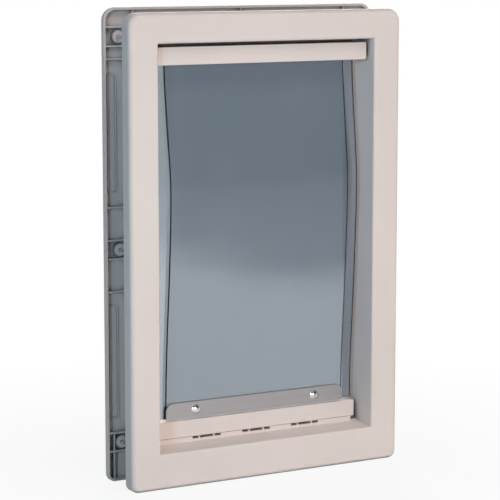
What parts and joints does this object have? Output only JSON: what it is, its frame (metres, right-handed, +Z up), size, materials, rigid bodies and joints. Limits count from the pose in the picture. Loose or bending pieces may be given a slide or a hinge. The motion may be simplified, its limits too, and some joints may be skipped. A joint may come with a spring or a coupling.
{
  "type": "dog door",
  "caption": "Pet door for a house door: two moulded frames that telescope through the door, and a clear vinyl flap with a steel-weighted magnetic foot over a sill.",
  "frame": {"origin": "bottom of the frames, in the middle of the width and of the depth", "axes": "+Z up, X across the door, the outdoor face (the one in the picture) faces -Y, the indoor face +Y"},
  "size_m": [0.38, 0.08, 0.584],
  "materials": {
    "frame_plastic": "satin moulded, warm off-white",
    "flap_vinyl": "clear flexible vinyl with a smoky blue tint",
    "bar_steel": "satin",
    "fastener_steel": "bright plated",
    "magnet": "dark sintered",
    "strike_steel": "plated strip"
  },
  "bodies": {
    "frame": {"front_frame": "frame_plastic", "flap_header": "frame_plastic", "front_sheet_top_edge": "flap_vinyl", "flap_spacer": "flap_vinyl", "rear_sheet_top_edge": "flap_vinyl", "sill_cover": "frame_plastic", "strike_plate_1": "strike_steel", "strike_plate_2": "strike_steel", "strike_plate_3": "strike_steel", "header_screw_1": "fastener_steel", "header_screw_2": "fastener_steel", "header_screw_3": "fastener_steel", "header_screw_4": "fastener_steel"},
    "flap": {"flap_front_sheet": "flap_vinyl", "flap_rear_sheet": "flap_vinyl", "flap_bar_front": "bar_steel", "flap_bar_rear": "bar_steel", "flap_magnet_1": "magnet", "flap_magnet_2": "magnet", "bar_screw_1": "fastener_steel", "bar_screw_2": "fastener_steel", "bar_post_1": "fastener_steel", "bar_post_2": "fastener_steel"},
    "rear": {"rear_frame": "frame_plastic", "frame_screw_1": "fastener_steel", "frame_screw_2": "fastener_steel", "frame_screw_3": "fastener_steel", "frame_screw_4": "fastener_steel", "frame_screw_5": "fastener_steel", "frame_screw_6": "fastener_steel"}
  },
  "joints": [
    {"name": "flap_swing", "type": "hinge", "parent": "frame", "child": "flap", "pos_m": [0, -0.002, 0.5125], "axis": [1, 0, 0], "range_deg": [-75, 75], "stiffness_Nm_per_rad": 0.3, "springref_deg": -5.73},
    {"name": "frame_telescope", "type": "slide", "parent": "frame", "child": "rear", "axis": [0, 1, 0], "range_m": [-0.01, 0.0013]}
  ]
}
